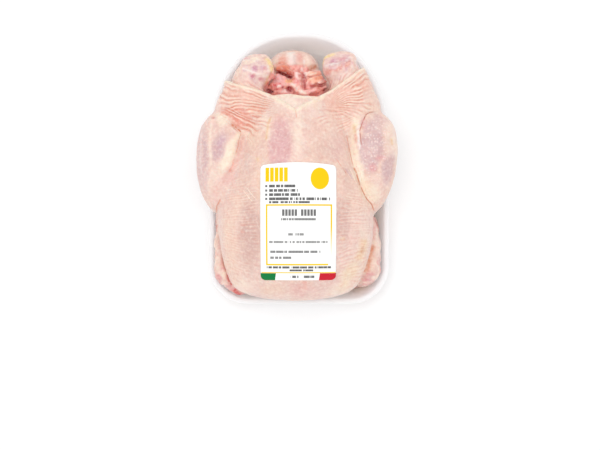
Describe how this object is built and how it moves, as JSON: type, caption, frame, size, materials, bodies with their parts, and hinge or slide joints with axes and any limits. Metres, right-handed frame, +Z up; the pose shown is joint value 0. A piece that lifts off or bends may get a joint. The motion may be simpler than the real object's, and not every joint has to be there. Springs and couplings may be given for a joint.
{
  "type": "whole raw chicken in a tray",
  "caption": "Whole raw chicken lying breast up on a shallow white foam tray, with a paper sticker on its breast.",
  "frame": {"origin": "on the table, under the middle of the whole", "axes": "+Y from the neck end to the tail end, +Z up through the breast, +X to the right as seen from above with the tail at the top"},
  "size_m": [0.1744, 0.24, 0.1076],
  "materials": {
    "skin": "damp raw poultry skin: pale pink and cream, mauve where meat shows through, half gloss",
    "foam": "white expanded polystyrene foam, satin",
    "sticker": "smooth white sticker with plain fields of yellow, green, red and grey"
  },
  "bodies": {
    "root": {"chicken": "skin", "tray": "foam", "label": "sticker"}
  },
  "joints": []
}
